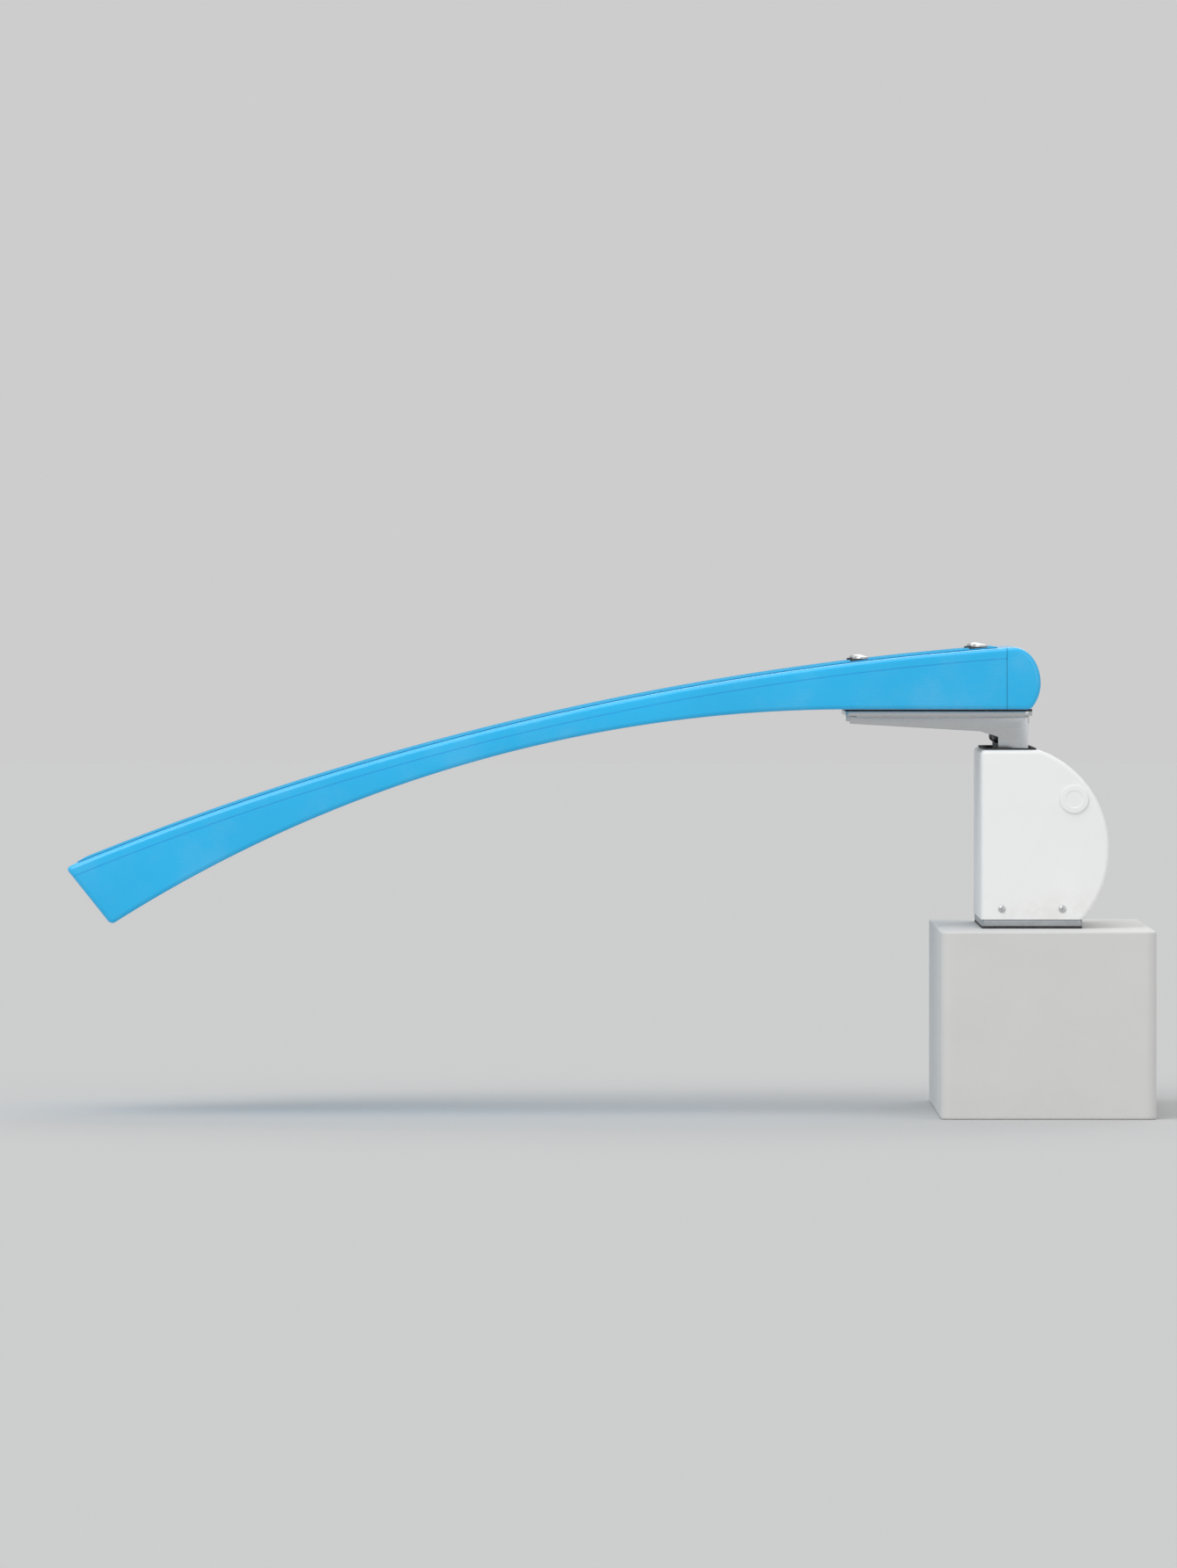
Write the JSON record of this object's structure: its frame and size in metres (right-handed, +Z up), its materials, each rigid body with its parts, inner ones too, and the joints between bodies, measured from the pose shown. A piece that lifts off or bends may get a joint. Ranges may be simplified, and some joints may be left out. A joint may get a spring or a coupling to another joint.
{
  "type": "diving board",
  "caption": "Arched residential diving board on a moulded deck pedestal with a round back; the board and its rocker tilt on two coil springs about a pin.",
  "frame": {"origin": "on the deck under the pedestal's rubber gasket, in the middle of the four anchor bolts", "axes": "+Z up; -X along the board, out over the water; +Y to the right of someone walking out along the board"},
  "size_m": [1.8962, 0.4776, 0.5182],
  "materials": {
    "gel_coat": "glossy light blue gel coat over glass fibre",
    "tread_grit": "gritty non-skid, same light blue",
    "moulded_white": "white moulded plastic, fine texture",
    "stainless": "brushed stainless steel",
    "galvanised": "hot-dip galvanised, mottled",
    "spring_steel": "dark powder-coated spring steel",
    "rubber": "black rubber",
    "nylon": "natural nylon",
    "timber": "laminated fir, sealed in resin"
  },
  "bodies": {
    "pedestal": {"deck_gasket": "rubber", "base_plate": "galvanised", "anchor_bolt_1": "stainless", "anchor_bolt_2": "stainless", "anchor_bolt_3": "stainless", "anchor_bolt_4": "stainless", "side_frame_left": "galvanised", "side_frame_right": "galvanised", "front_bulkhead": "galvanised", "spring_shelf": "galvanised", "cross_tube": "galvanised", "hinge_pin": "stainless", "pin_nut": "stainless", "lower_spring_cup_left": "galvanised", "lower_spring_cup_right": "galvanised", "bump_stop_left": "rubber", "bump_stop_right": "rubber", "coil_spring_left": "spring_steel", "coil_spring_right": "spring_steel", "pedestal_shell": "moulded_white", "window_trim": "rubber", "pin_cap_left": "moulded_white", "pin_cap_right": "moulded_white", "skirt_angle_left": "galvanised", "skirt_angle_right": "galvanised", "skirt_screw_1": "stainless", "skirt_screw_2": "stainless", "skirt_screw_3": "stainless", "skirt_screw_4": "stainless"},
    "board": {"board_shell": "gel_coat", "rear_cap": "gel_coat", "tread": "tread_grit", "stringer_left": "timber", "stringer_centre": "timber", "stringer_right": "timber", "mounting_plate": "stainless", "isolation_pad": "rubber", "rocker_arm_left": "stainless", "rocker_arm_right": "stainless", "hinge_bush_left": "nylon", "hinge_bush_right": "nylon", "upper_spring_cup_left": "stainless", "upper_spring_cup_right": "stainless", "board_bolt_1": "stainless", "board_bolt_2": "stainless", "board_bolt_3": "stainless", "board_bolt_4": "stainless", "bolt_washer_1": "rubber", "bolt_washer_2": "rubber", "bolt_washer_3": "rubber", "bolt_washer_4": "rubber", "board_nut_1": "stainless", "board_nut_2": "stainless", "board_nut_3": "stainless", "board_nut_4": "stainless", "rebound_stud": "stainless", "rebound_cushion": "rubber", "rebound_nut": "stainless"}
  },
  "joints": [
    {"name": "board_tilt", "type": "hinge", "parent": "pedestal", "child": "board", "pos_m": [0.07246, 0, 0.2356], "axis": [0, 1, 0], "range_deg": [-6, 3], "stiffness_Nm_per_rad": 20400, "springref_deg": 0.74, "deforming": ["coil_spring_left", "coil_spring_right"]}
  ]
}
